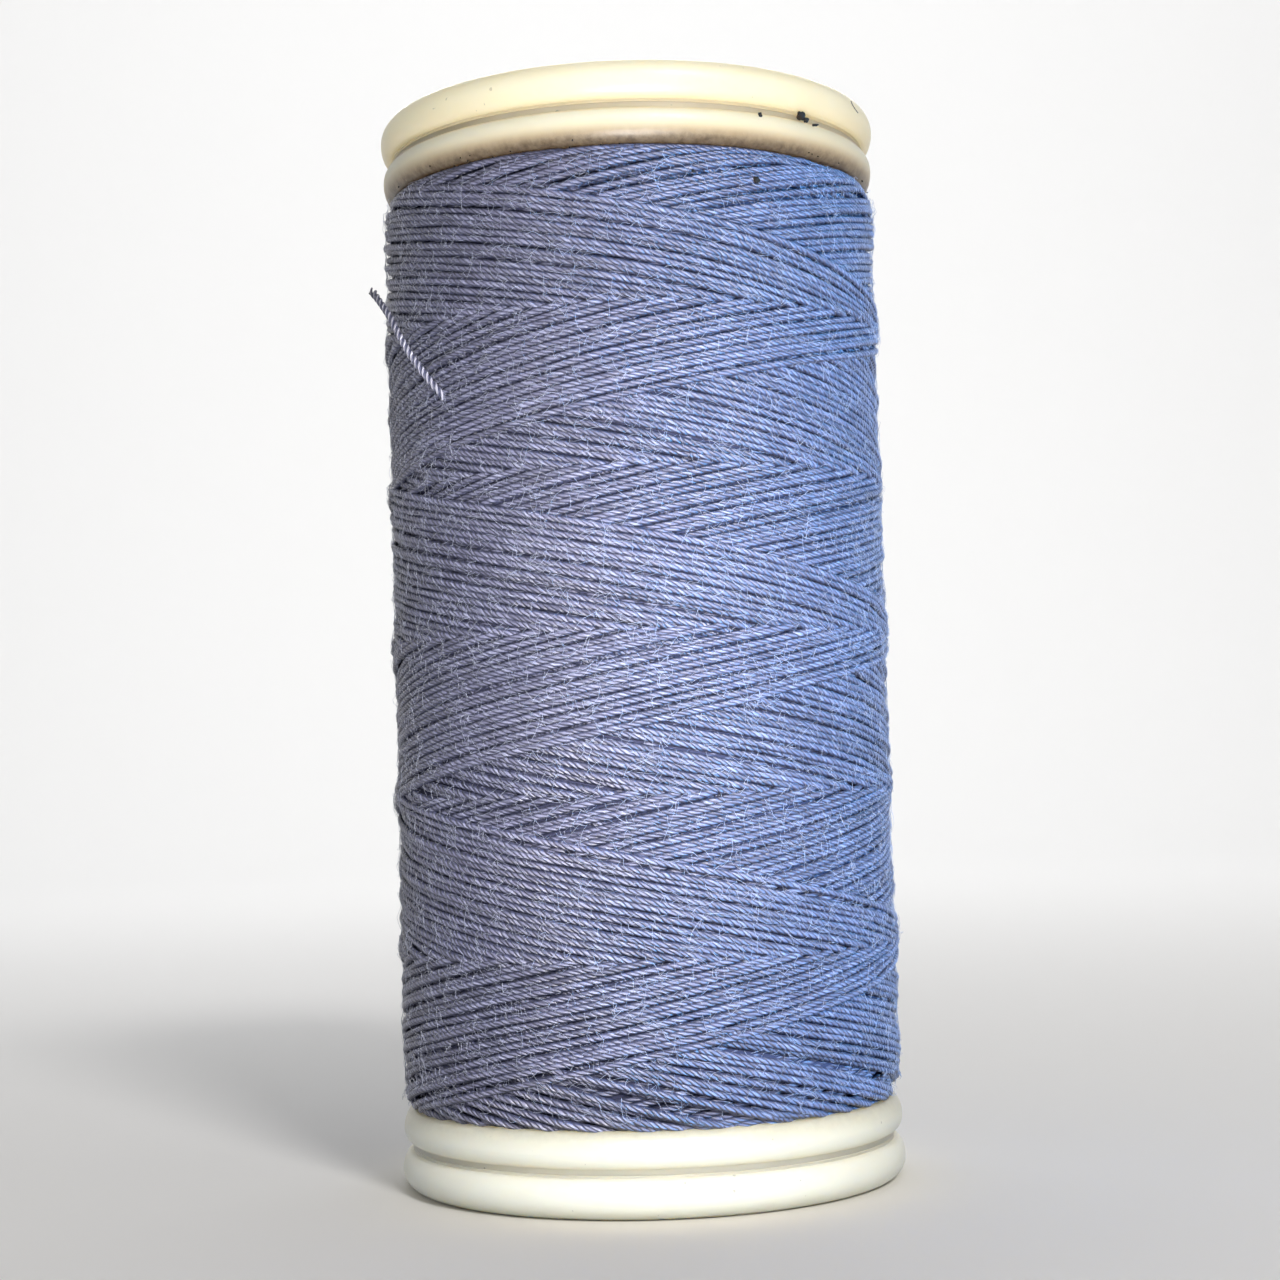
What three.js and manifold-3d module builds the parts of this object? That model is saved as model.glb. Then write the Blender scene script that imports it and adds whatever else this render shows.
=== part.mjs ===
// A spool of sewing thread. A moulded barrel has a flange at each end. A cap snaps into
// each end of the barrel and closes a slit against the flange, and the thread's end is
// locked in that slit. The thread is wound between the flanges, full to their rims.
// Millimetres, +Z up along the spool, origin at the centre of the face it stands on.
import * as THREE from "three";
import { mergeVertices } from "three/addons/utils/BufferGeometryUtils.js";
import Module from "manifold-3d";

const wasm = await Module();
wasm.setup();

// ---- Driving dimensions ------------------------------------------------------------
const overallHeight = 54.0;

// Snap caps, one in each end, both from the same mould.
const capRadius = 12.7;
const capRimThickness = 1.9;
const capBeadDepth = 0.95; // how far the rim's half round reaches in
const capRimLand = 0.8; // flat ring inside the bead, which the spool stands on
const capFaceRecess = 0.5; // the face between rim and hub is sunk by this
const capFaceDraft = 0.3; // slope of the sunk face's sides
const capWebThickness = 0.9;
const pinchLand = 1.1; // flat rings of cap and flange that pinch the thread's end
const pinBoreRadius = 3.9; // slips over a sewing machine's spool pin
const pinBoreChamfer = 0.4;
const hubLand = 1.4; // flat ring round the bore
const sleeveWall = 1.1;
const sleeveLength = 6.6; // from the cap's rim to the tips of its fingers
const sleeveSlotWidth = 1.2;
const sleeveSlotCuts = 2; // each cut runs across the sleeve and makes two slots
const sleeveRootLength = 0.8; // the sleeve is a whole ring for this far
const barbHeight = 0.7;
const barbLength = 1.2;
const barbLeadIn = 0.7; // length of the cone that guides the barb in
const barbTipInset = 0.25;
const capTravel = 1.8; // from closed to open, where the barbs catch

// Barrel and flanges, one moulding.
const lockSlit = 0.3; // between a closed cap and its flange
const flangeInset = 0.1; // the flange's widest ring stands this far inside the cap's
const flangeThickness = 1.9;
const flangeCrest = 0.65; // from the flange's outer face to its widest ring
const flangeOuterBead = 0.75; // depth of the round towards the cap
const flangeInnerBead = 0.75; // depth of the round towards the thread
const lockPocketDepth = 0.7; // room for the thread's end behind the pinch rings
const barrelFillet = 0.6;
const barrelWall = 1.1; // over the snap grooves, where it is thinnest
const barrelLeadIn = 0.6;
const sleeveClearance = 0.3;

// Thread.
const threadDiameter = 0.4;
const packageProud = 0.05; // the outermost turns stand this far outside the flanges
const seatGap = 0.3;
const shoulderDepth = 0.75; // the package rounds off towards each flange
const shoulderLength = 0.8;
const endTurnClearance = 0.5; // from a flange to the nearest turn
const windingLoops = 24;
const bandHeight = 22.3; // turns lean one way, then the other, once in this height
const bandTilt = 1.7; // the most that a turn rises or falls from its middle height
const leastTurnGap = 0.4;

// The thread's free end comes out between two turns and springs clear of the package.
// Each point is its angle round the spool in degrees, its rise above the root, and how
// far its centre stands outside the package.
const turnsAboveTail = 6;
const tailRoute = [
  [219.5, 0.0, -0.2],
  [217.6, 0.4, 0.1],
  [215.4, 1.0, 0.45],
  [211.6, 1.95, 0.62],
  [206.4, 3.0, 0.8],
  [200.4, 4.1, 0.98],
  [194.2, 5.2, 1.17],
];

// Facets.
const revolveSegments = 48;
const beadSteps = 4; // in a quarter round
const filletSteps = 2;
const stepsPerLoop = 24;
const turnSides = 6;
const tailSides = 8;
const tailStep = 1.0;

// ---- Sizes that follow --------------------------------------------------------------
const flangeRadius = capRadius - flangeInset;
const packageRadius = flangeRadius + packageProud;
const hubRadius = pinBoreRadius + pinBoreChamfer + hubLand;
const rimLandRadius = capRadius - capBeadDepth - capRimLand;
const pinchRadius = capRadius - capBeadDepth - pinchLand;
const capWebInner = capFaceRecess + capWebThickness;
const sleeveRadius = pinBoreRadius + sleeveWall;
const barbRadius = sleeveRadius + barbHeight;
const sleeveTip = capRimThickness + sleeveLength;
const barbShoulder = sleeveTip - barbLength;

const barrelBore = sleeveRadius + sleeveClearance;
const snapGrooveRadius = barbRadius + sleeveClearance;
const snapGrooveStart = barbShoulder - capTravel - sleeveClearance;
const snapGrooveEnd = sleeveTip + sleeveClearance;
const barrelRadius = snapGrooveRadius + barrelWall;
const flangeFace = capRimThickness + lockSlit;
const flangePocketFloor = flangeFace + lockPocketDepth;
const flangeCrestHeight = flangeFace + flangeCrest;
const flangeInnerFace = flangeFace + flangeThickness;

const packageEnd = flangeInnerFace + seatGap;
const packageTop = overallHeight - packageEnd;
const coreRadius = packageRadius - threadDiameter - seatGap;
const turnRadius = packageRadius - threadDiameter / 2;
const firstTurnHeight = flangeInnerFace + endTurnClearance + threadDiameter / 2;
const windingPitch = (overallHeight - 2 * firstTurnHeight) / windingLoops;
const loopsPerBand = bandHeight / windingPitch;

// ---- Materials ----------------------------------------------------------------------
const ivoryPlastic = () =>
  new THREE.MeshStandardMaterial({ color: 0xf4eed6, roughness: 0.3, metalness: 0 });
const blueThread = () =>
  new THREE.MeshStandardMaterial({ color: 0x6a72a0, roughness: 0.85, metalness: 0 });

// ---- Helpers ------------------------------------------------------------------------
const at = (radius, height) => new THREE.Vector2(radius, height);

// Points along an arc of an ellipse, from one angle to another, in degrees.
function arc(centre, depth, height, from, to, steps) {
  return Array.from({ length: steps + 1 }, (_, i) => {
    const angle = THREE.MathUtils.degToRad(from + ((to - from) * i) / steps);
    return at(centre.x + depth * Math.cos(angle), centre.y + height * Math.sin(angle));
  });
}

// The same points at the other end of the spool, in the order that carries on round.
const mirrored = (points) => points.map((p) => at(p.x, overallHeight - p.y)).reverse();

// Turns a closed profile of (radius, height) points about Z. The profile runs outwards
// along the bottom, up the outside and back inside, so that its faces point out.
function revolve(points) {
  const closed = [...points, points[0].clone()];
  return new THREE.LatheGeometry(closed, revolveSegments).rotateX(Math.PI / 2);
}

// A geometry as a solid that can be cut.
function solidOf(geometry) {
  const bare = geometry.clone();
  bare.deleteAttribute("normal");
  bare.deleteAttribute("uv");
  const merged = mergeVertices(bare, 1e-4);
  return new wasm.Manifold(
    new wasm.Mesh({
      numProp: 3,
      vertProperties: merged.attributes.position.array,
      triVerts: new Uint32Array(merged.index.array),
    }),
  );
}

// A solid as a geometry again.
function geometryOf(solid) {
  const mesh = solid.getMesh();
  return new THREE.BufferGeometry()
    .setAttribute("position", new THREE.BufferAttribute(mesh.vertProperties, 3))
    .setIndex(new THREE.BufferAttribute(mesh.triVerts, 1));
}

// ---- Spool body ---------------------------------------------------------------------
// The outside of one end: the barrel's mouth, the pocket, the flange's rim and the
// fillet down to the barrel.
function flangeProfile() {
  return [
    at(barrelBore + barrelLeadIn, flangeFace),
    at(barrelRadius, flangeFace),
    at(barrelRadius, flangePocketFloor),
    at(pinchRadius, flangePocketFloor),
    at(pinchRadius, flangeFace),
    ...arc(
      at(flangeRadius - flangeOuterBead, flangeCrestHeight),
      flangeOuterBead, flangeCrest, -90, 0, beadSteps,
    ),
    ...arc(
      at(flangeRadius - flangeInnerBead, flangeCrestHeight),
      flangeInnerBead, flangeThickness - flangeCrest, 0, 90, beadSteps,
    ).slice(1),
    ...arc(
      at(barrelRadius + barrelFillet, flangeInnerFace + barrelFillet),
      barrelFillet, barrelFillet, -90, -180, filletSteps,
    ),
  ];
}

// The inside of one end, from the middle of the barrel out to its mouth: the groove that
// holds the barbs, then the chamfer that closes the fingers as a cap goes in.
function boreProfile() {
  return [
    at(barrelBore, snapGrooveEnd + barbHeight),
    at(snapGrooveRadius, snapGrooveEnd),
    at(snapGrooveRadius, snapGrooveStart),
    at(barrelBore, snapGrooveStart),
    at(barrelBore, flangeFace + barrelLeadIn),
  ];
}

function makeSpoolBody() {
  const profile = [
    ...flangeProfile(),
    ...mirrored(flangeProfile()),
    ...mirrored(boreProfile()),
    ...boreProfile(),
  ];
  return new THREE.Mesh(revolve(profile), ivoryPlastic());
}

// ---- Caps ---------------------------------------------------------------------------
// The cap as it sits in the lower end: hub, sunk face, rim bead, web, then the sleeve
// with its barbs up inside the barrel.
function capProfile() {
  return [
    at(pinBoreRadius + pinBoreChamfer, 0),
    at(hubRadius, 0),
    at(hubRadius + capFaceDraft, capFaceRecess),
    at(rimLandRadius - capFaceDraft, capFaceRecess),
    at(rimLandRadius, 0),
    ...arc(
      at(capRadius - capBeadDepth, capRimThickness / 2),
      capBeadDepth, capRimThickness / 2, -90, 90, 2 * beadSteps,
    ),
    at(pinchRadius, capRimThickness),
    at(pinchRadius - capFaceDraft, capWebInner),
    at(sleeveRadius, capWebInner),
    at(sleeveRadius, barbShoulder),
    at(barbRadius, barbShoulder),
    at(barbRadius, sleeveTip - barbLeadIn),
    at(sleeveRadius - barbTipInset, sleeveTip),
    at(pinBoreRadius, sleeveTip),
    at(pinBoreRadius, pinBoreChamfer),
  ];
}

// Slots part the sleeve into springy fingers, each with its own stretch of barb.
function slotTheSleeve(cap) {
  const slotStart = capWebInner + sleeveRootLength;
  const slotEnd = sleeveTip + sleeveSlotWidth;
  const reach = 2 * (barbRadius + sleeveSlotWidth);
  const cutter = new THREE.BoxGeometry(reach, sleeveSlotWidth, slotEnd - slotStart);
  cutter.translate(0, 0, (slotStart + slotEnd) / 2);
  const turn = Math.PI / sleeveSlotCuts;
  cutter.rotateZ(turn / 2);
  let slotted = cap;
  for (let i = 0; i < sleeveSlotCuts; i += 1) {
    slotted = slotted.subtract(solidOf(cutter));
    cutter.rotateZ(turn);
  }
  return slotted;
}

function makeCap() {
  return new THREE.Mesh(geometryOf(slotTheSleeve(solidOf(revolve(capProfile())))), ivoryPlastic());
}

// ---- Thread package -----------------------------------------------------------------
// How much the package has drawn in at a height, towards the nearer flange.
function shoulderDrop(height) {
  const fromEnd = Math.min(height - packageEnd, packageTop - height);
  const share = THREE.MathUtils.clamp(1 - fromEnd / shoulderLength, 0, 1);
  return shoulderDepth * (1 - Math.sqrt(1 - share * share));
}

// The inner turns, as one plain ring round the barrel.
function makePackage() {
  const lowerHalf = [
    at(barrelRadius + seatGap, packageEnd + barrelFillet),
    at(barrelRadius + seatGap + barrelFillet, packageEnd),
    ...arc(
      at(coreRadius - shoulderDepth, packageEnd + shoulderLength),
      shoulderDepth, shoulderLength, -90, 0, beadSteps,
    ),
  ];
  return new THREE.Mesh(revolve([...lowerHalf, ...mirrored(lowerHalf)]), blueThread());
}

// The middle of the wound thread after a number of turns. Each turn is tilted, and the
// tilt swings from one side to the other and back, so the turns lie in slanting bands.
function windingPoint(turns) {
  const angle = 2 * Math.PI * turns;
  const tilt = bandTilt * Math.sin((2 * Math.PI * turns) / loopsPerBand);
  const fade = Math.min(1, turns, windingLoops - turns);
  const height = firstTurnHeight + windingPitch * turns + fade * tilt * Math.cos(angle);
  const radius = turnRadius - shoulderDrop(height);
  return new THREE.Vector3(radius * Math.cos(angle), radius * Math.sin(angle), height);
}

// The winding's centre line, with a straight stretch of one diameter at each end.
function windingRoute() {
  const count = windingLoops * stepsPerLoop;
  const turns = Array.from({ length: count + 1 }, (_, i) => windingPoint(i / stepsPerLoop));
  const before = turns[0].clone().sub(turns[1]).setLength(threadDiameter);
  const after = turns[count].clone().sub(turns[count - 1]).setLength(threadDiameter);
  return [before.add(turns[0]), ...turns, after.add(turns[count])];
}

// The least distance between the surfaces of two turns, measured between points of the
// route that are more than half a loop apart along it.
function leastGap(route) {
  let least = Infinity;
  for (let i = 0; i < route.length; i += 1) {
    for (let j = i + stepsPerLoop / 2; j < route.length; j += 1) {
      least = Math.min(least, route[i].distanceTo(route[j]));
    }
  }
  return least - threadDiameter;
}

// A closed round tube along a route that winds about Z: a ring of points at each step,
// and a flat fan over each end.
function tubeAlong(route, radius, sides) {
  const positions = [];
  const indices = [];
  const last = route.length - 1;
  route.forEach((point, i) => {
    const ahead = route[Math.min(i + 1, last)];
    const behind = route[Math.max(i - 1, 0)];
    const tangent = ahead.clone().sub(behind).normalize();
    const outward = new THREE.Vector3(point.x, point.y, 0);
    outward.addScaledVector(tangent, -outward.dot(tangent)).normalize();
    const across = new THREE.Vector3().crossVectors(tangent, outward);
    for (let k = 0; k < sides; k += 1) {
      const angle = (2 * Math.PI * k) / sides;
      const corner = point.clone();
      corner.addScaledVector(outward, radius * Math.cos(angle));
      corner.addScaledVector(across, radius * Math.sin(angle));
      positions.push(corner.x, corner.y, corner.z);
    }
  });
  for (let i = 0; i < last; i += 1) {
    for (let k = 0; k < sides; k += 1) {
      const here = i * sides + k;
      const beside = i * sides + ((k + 1) % sides);
      indices.push(here, beside, beside + sides, here, beside + sides, here + sides);
    }
  }
  for (let k = 1; k < sides - 1; k += 1) {
    indices.push(0, k + 1, k);
    indices.push(last * sides, last * sides + k, last * sides + k + 1);
  }
  return new THREE.BufferGeometry()
    .setAttribute("position", new THREE.Float32BufferAttribute(positions, 3))
    .setIndex(indices);
}

function makeWinding() {
  const route = windingRoute();
  const gap = leastGap(route);
  const verdict = gap > leastTurnGap ? "clear" : "TOO CLOSE";
  console.log(`Least gap between turns of the winding: ${gap.toFixed(2)} mm, ${verdict}.`);
  return new THREE.Mesh(tubeAlong(route, threadDiameter / 2, turnSides), blueThread());
}

// ---- Thread tail --------------------------------------------------------------------
function makeTail() {
  const rootTurns = windingLoops - turnsAboveTail + tailRoute[0][0] / 360;
  const turnBelow = windingPoint(rootTurns - 1).z;
  const turnAbove = windingPoint(rootTurns).z;
  const rootHeight = (turnBelow + turnAbove) / 2;
  const points = tailRoute.map(([degrees, rise, lift]) => {
    const angle = THREE.MathUtils.degToRad(degrees);
    const radius = packageRadius + lift;
    const height = rootHeight + rise;
    return new THREE.Vector3(radius * Math.cos(angle), radius * Math.sin(angle), height);
  });
  const path = new THREE.CatmullRomCurve3(points);
  const section = new THREE.Shape(
    Array.from({ length: tailSides }, (_, i) => {
      const angle = (2 * Math.PI * i) / tailSides;
      return at((threadDiameter / 2) * Math.cos(angle), (threadDiameter / 2) * Math.sin(angle));
    }),
  );
  const steps = Math.ceil(path.getLength() / tailStep);
  const geometry = new THREE.ExtrudeGeometry(section, { steps, extrudePath: path });
  return new THREE.Mesh(geometry, blueThread());
}

// ---- Assembly -----------------------------------------------------------------------
const spool = new THREE.Group();

const spoolBody = makeSpoolBody();
spoolBody.name = "spool_body";

const bottomCap = makeCap();
bottomCap.name = "bottom_cap";

const topCap = makeCap();
topCap.name = "top_cap";
topCap.rotation.x = Math.PI;
topCap.position.z = overallHeight;

const threadPackage = makePackage();
threadPackage.name = "thread_package";

const threadWinding = makeWinding();
threadWinding.name = "thread_winding";

const threadTail = makeTail();
threadTail.name = "thread_tail";

spool.add(spoolBody, bottomCap, topCap, threadPackage, threadWinding, threadTail);

export default spool;
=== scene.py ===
import math

import bpy
import numpy as np
from mathutils import Matrix, Vector


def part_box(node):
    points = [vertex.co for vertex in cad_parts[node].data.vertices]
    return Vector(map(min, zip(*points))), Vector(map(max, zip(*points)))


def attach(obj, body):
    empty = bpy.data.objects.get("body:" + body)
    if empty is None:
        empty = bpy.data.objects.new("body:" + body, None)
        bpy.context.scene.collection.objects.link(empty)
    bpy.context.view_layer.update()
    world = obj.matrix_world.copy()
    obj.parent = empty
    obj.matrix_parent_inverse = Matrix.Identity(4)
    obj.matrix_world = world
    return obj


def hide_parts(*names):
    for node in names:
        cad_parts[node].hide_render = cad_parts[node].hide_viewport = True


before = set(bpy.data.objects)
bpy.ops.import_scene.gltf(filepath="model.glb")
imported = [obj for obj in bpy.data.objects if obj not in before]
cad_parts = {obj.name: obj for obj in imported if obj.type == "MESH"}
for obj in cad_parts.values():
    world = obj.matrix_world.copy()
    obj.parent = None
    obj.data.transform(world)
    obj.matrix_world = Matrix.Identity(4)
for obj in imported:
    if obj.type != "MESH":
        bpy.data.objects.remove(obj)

MM = 0.001
TURN = 2 * math.pi
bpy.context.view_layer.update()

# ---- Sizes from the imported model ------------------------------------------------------
cap_high = np.array(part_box("bottom_cap")[1]) / MM
body_low, body_high = (np.array(corner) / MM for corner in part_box("spool_body"))
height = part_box("top_cap")[1][2] / MM
cap_radius = cap_high[0]
sleeve_tip = cap_high[2]
flange_face = body_low[2]
flange_radius = body_high[0]
package_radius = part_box("thread_winding")[1][0] / MM

# ---- Sizes of the mouldings -----------------------------------------------------------
cap_rim = 1.9
cap_bead = 0.95
cap_land = 0.8
cap_recess = 0.5
cap_draft = 0.3
cap_web = 0.9
pinch_land = 1.1
bore_radius = 3.9
bore_chamfer = 0.4
hub_land = 1.4
sleeve_wall = 1.1
sleeve_fillet = 0.3
slot_width = 1.2
slot_cuts = 2
slot_root = 0.8
barb_height = 0.7
barb_length = 1.2
barb_lead_in = 0.7
barb_inset = 0.25
cap_travel = 1.8
flange_thickness = 1.9
flange_crest = 0.65
flange_bead = 0.75
pocket_depth = 0.7
barrel_wall = 1.1
barrel_lead_in = 0.6
barrel_fillet = 0.6
fit_gap = 0.3
soft_edge = 0.09  # every sharp corner of the mouldings is rounded by this
least_straight = 0.01  # what stays straight between two rounded corners
half_slit = 0.006  # half of what stays open where cap and flange pinch the thread
pinch = 0.5 * (flange_face - cap_rim) - half_slit  # how far each side of the slit comes in
valley_radius = 12.15  # the slit opens at the bottom of a valley this far out
valley_cap = 0.15  # how much of the valley's floor is the cap's
valley_flange = 0.30  # and how much is the flange's
valley_edge = 0.04

sleeve_radius = bore_radius + sleeve_wall
barb_radius = sleeve_radius + barb_height
barb_shoulder = sleeve_tip - barb_length
hub_radius = bore_radius + bore_chamfer + hub_land
rim_land_radius = cap_radius - cap_bead - cap_land
pinch_radius = cap_radius - cap_bead - pinch_land
cap_web_inner = cap_recess + cap_web
barrel_bore = sleeve_radius + fit_gap
groove_radius = barb_radius + fit_gap
groove_start = barb_shoulder - cap_travel - fit_gap
groove_end = sleeve_tip + fit_gap
barrel_radius = groove_radius + barrel_wall
flange_inner_face = flange_face + flange_thickness
lathe_segments = 224

# ---- Sizes of the winding -------------------------------------------------------------
# The thread goes three times round the spool on each trip between the flanges, and each
# trip lands one thread's width beside the last one in its direction.
half_width = 0.187
half_height = 0.155
contact_width = 0.13  # half of how wide it bears on what lies under it
sink = 0.065  # how far it presses in
lay_spacing = 0.355
trip_turns = 3
trip_low = 4.03  # where trips would turn back if they turned sharply
trip_high = height - 3.72
newest_up = 11.30  # height at which the newest upward trip crosses +X, less whole leads
trip_count = 88
layer_rise = 0.08  # how far either direction's oldest turns lie below its newest at the start
most_rise = 1.1  # no turn is laid further than this above the edge that the map starts from
edge_play = 0.08  # nothing shows further than this above the package's edge
carry_reach = 5  # samples to each side whose highest point carries the thread
bend_reach = 7  # samples over which the thread's stiffness rounds its path
proud_share = 0.4  # heights above the package's radius are pressed in to this share
low_share = 0.85  # and depths below it to this
crest_percent = 81  # this much of the height map lies below the package's radius
flange_rows = 80  # rows next to each flange that don't count in that
turning_round = (0.018, 0.042)  # how gently trips turn back, in turns
turning_scatter = 0.10  # how far their turning points lie apart
turning_reach = 0.2  # and over how much of a turn that fades
drifts = ((0.030, 60), (0.045, 420))  # how far the thread strays, over how many samples
low_sag = 0.65  # the lowest turns sag this far, on to the lower flange
sag_reach = 1.8
lowest_turn = flange_inner_face - 0.03  # the thread's middle stays between these heights
highest_turn = height - flange_inner_face - 0.16
shoulder_depth = 0.75  # how far the package rounds in towards each flange
shoulder_length = 1.9
ring_step = 0.5  # length of thread from one ring of its mesh to the next
thread_sides = 8
winding_pieces = 4
turn_columns = 1024  # samples in each turn, which are the height map's columns
row_height = 0.06
spare_rows = 4  # rows of the height map beyond each flange
bearing_rows = math.ceil(contact_width / row_height)  # rows to each side that carry the thread
raised_rows = math.ceil(half_width / row_height)  # and that it covers
trip_tint = 0.07  # how far trips, and patches along the thread, differ in shade
patch_tint = 0.06
patch_reach = 40
slub = 0.045  # how far the thread's thickness varies, as a share
slub_reach = 4
ply_lay = 1.15  # length of one full twist of the thread's three plies
ply_lean = 0.06  # sets the plies' slope across the thread's outer side
core_gap = 0.1  # how far the inner turns stay off the barrel
core_end_gap = 0.12  # and off the flanges
core_depth = 0.42  # how far they lie below the package's radius
core_corner = 0.1  # their corners are rounded by these
core_rim = 0.05
core_shoulder = 0.6

lead = (trip_high - trip_low - lay_spacing / 2) / trip_turns
turns_per_trip = (trip_high - trip_low) / lead
newest_start = (trip_low - newest_up) / lead % 1.0
rng = np.random.default_rng(seed=11)


# ---- Meshes ---------------------------------------------------------------------------
def unit(vectors):
    return vectors / np.linalg.norm(vectors, axis=-1, keepdims=True)


def lengths_along(route):
    return np.concatenate([[0], np.cumsum(np.linalg.norm(np.diff(route, axis=0), axis=1))])


def round_axis(radius, angle, z):
    """Points this far from the axis, at these angles and heights."""
    x, y, z = np.broadcast_arrays(radius * np.cos(angle), radius * np.sin(angle), z)
    return np.stack([x, y, z], -1)


def to_mesh(name, points, *face_groups, maps=None, shade=None):
    """An object at the origin from an array of points in millimetres and arrays of faces.
    maps is one (u, v) for each face corner, and shade one number for each point."""
    faces = [face for group in face_groups for face in np.asarray(group).tolist()]
    mesh = bpy.data.meshes.new(name)
    mesh.from_pydata((np.asarray(points) * MM).tolist(), [], faces)
    mesh.polygons.foreach_set("use_smooth", np.ones(len(faces), bool))
    if maps is not None:
        layer = mesh.uv_layers.new(name="lay")
        layer.data.foreach_set("uv", np.asarray(maps, np.float32).ravel())
    if shade is not None:
        values = mesh.attributes.new("shade", "FLOAT", "POINT")
        values.data.foreach_set("value", np.asarray(shade, np.float32))
    mesh.update()
    piece = bpy.data.objects.new(name, mesh)
    bpy.context.scene.collection.objects.link(piece)
    return piece


def outline(corners, steps=8):
    """A closed outline from corners of (radius, height, cut before, cut after). Each corner is
    replaced by the arc that leaves its two sides at those cuts: the conic
    ((1-t)^2 a + 2wt(1-t) c + t^2 b) / ((1-t)^2 + 2wt(1-t) + t^2), with w the cosine of half
    the turn at the corner."""
    corners = np.asarray(corners, float)
    corner = corners[:, :2]
    back = unit(np.roll(corner, 1, 0) - corner)
    ahead = unit(np.roll(corner, -1, 0) - corner)
    start = (corner + back * corners[:, 2:3])[:, None]
    end = (corner + ahead * corners[:, 3:4])[:, None]
    turn = np.pi - np.arccos(np.clip((back * ahead).sum(1), -1, 1))
    pull = 2 * np.cos(turn / 2)[:, None, None]
    t = np.linspace(0, 1, steps)[None, :, None]
    mix = (1 - t) ** 2 * start + pull * t * (1 - t) * corner[:, None] + t**2 * end
    points = (mix / ((1 - t) ** 2 + pull * t * (1 - t) + t**2)).reshape(-1, 2)
    return points[np.linalg.norm(points - np.roll(points, 1, 0), axis=1) > 1e-4]


def ring_walls(rings, sides, closed=False):
    """Quads between each ring of points and the next, and if they are closed, between the
    last and the first too."""
    spans = rings if closed else rings - 1
    i, k = np.meshgrid(np.arange(spans), np.arange(sides), indexing="ij")
    near = i * sides
    far = (i + 1) % rings * sides
    k2 = (k + 1) % sides
    return np.stack([near + k, far + k, far + k2, near + k2], -1).reshape(-1, 4)


def revolve(name, profile):
    """The surface (r cos a, r sin a, z) for (r, z) round a closed profile and a round the axis.
    The profile runs outwards along the bottom, up the outside and back inside."""
    angle = np.linspace(0, TURN, lathe_segments, endpoint=False)[:, None]
    points = round_axis(profile[:, 0], angle, profile[:, 1]).reshape(-1, 3)
    return to_mesh(name, points, ring_walls(lathe_segments, len(profile), closed=True))


def square_to(route, outward):
    """At each point of a route, the direction that is square to it and nearest to outward,
    and the one that is square to both."""
    tangent = unit(np.gradient(route, axis=-2))
    outward = unit(outward - (outward * tangent).sum(-1, keepdims=True) * tangent)
    return outward, np.cross(tangent, outward)


def tube_rings(route, outward, tall, wide, sides):
    """Points of a tube of oval section along a route: centre - tall cos(p) outward
    - wide sin(p) sideways, for p round the section, which starts on its underside."""
    outward, sideways = square_to(route, outward)
    p = np.arange(sides) * TURN / sides
    tall = np.broadcast_to(tall, len(route))[:, None, None]
    wide = np.broadcast_to(wide, len(route))[:, None, None]
    up = tall * np.cos(p)[None, :, None] * outward[:, None]
    across = wide * np.sin(p)[None, :, None] * sideways[:, None]
    return route[:, None] - up - across


def tube_faces(rings, sides):
    """The walls of a tube in quads, and a fan of triangles over each end."""
    walls = ring_walls(rings, sides)[:, [0, 3, 2, 1]]  # turned over to face outwards
    k = np.arange(1, sides - 1)
    near = np.stack([np.zeros_like(k), k + 1, k], -1)
    far = np.stack([np.zeros_like(k), k, k + 1], -1) + (rings - 1) * sides
    return walls, np.concatenate([near, far])


def tube(name, route, outward, tall, wide, sides, along, shade):
    """A tube of oval section along a route. Its map holds the share of a turn round the
    section, from the underside, and along. The share is s + ply_lean sin(4 pi s), because a
    twisted thread's plies lie deeper than its outside and so slope less across it."""
    rings = len(route)
    points = tube_rings(route, outward, tall, wide, sides).reshape(-1, 3)
    walls, fans = tube_faces(rings, sides)
    i, k = np.meshgrid(np.arange(rings - 1), np.arange(sides), indexing="ij")
    share = np.arange(sides + 1) / sides
    share = share + ply_lean * np.sin(2 * TURN * share)
    round_ = np.stack([share[k], share[k + 1], share[k + 1], share[k]], -1)
    length = np.stack([along[i], along[i], along[i + 1], along[i + 1]], -1)
    maps = np.concatenate([np.stack([round_, length], -1).reshape(-1, 2), np.zeros((fans.size, 2))])
    shades = np.repeat(np.broadcast_to(shade, rings), sides)
    return to_mesh(name, points, walls, fans, maps=maps, shade=shades)


def many_tubes(name, routes, outwards, radius, sides, shade):
    """One mesh of many short tubes, from an array of routes of equal length."""
    count, rings = routes.shape[:2]
    walls, fans = tube_faces(rings, sides)
    out, side = square_to(routes, outwards)
    p = (np.arange(sides) * TURN / sides)[None, None, :, None]
    points = routes[:, :, None] - radius[..., None, None] * (
        np.cos(p) * out[:, :, None] + np.sin(p) * side[:, :, None]
    )
    first = (np.arange(count) * rings * sides)[:, None, None]
    walls = (walls[None] + first).reshape(-1, 4)
    fans = (fans[None] + first).reshape(-1, 3)
    maps = np.zeros((walls.size + fans.size, 2))
    shades = np.repeat(shade, rings * sides)
    return to_mesh(name, points.reshape(-1, 3), walls, fans, maps=maps, shade=shades)


def cut(piece, cutter):
    """Takes the cutter's solid out of the piece."""
    modifier = piece.modifiers.new("cut", "BOOLEAN")
    modifier.object = cutter
    modifier.operation = "DIFFERENCE"
    modifier.solver = "EXACT"
    bpy.context.view_layer.update()
    finished = piece.evaluated_get(bpy.context.evaluated_depsgraph_get())
    mesh = bpy.data.meshes.new_from_object(finished)
    piece.modifiers.clear()
    piece.data = mesh
    bpy.data.objects.remove(cutter)


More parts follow.
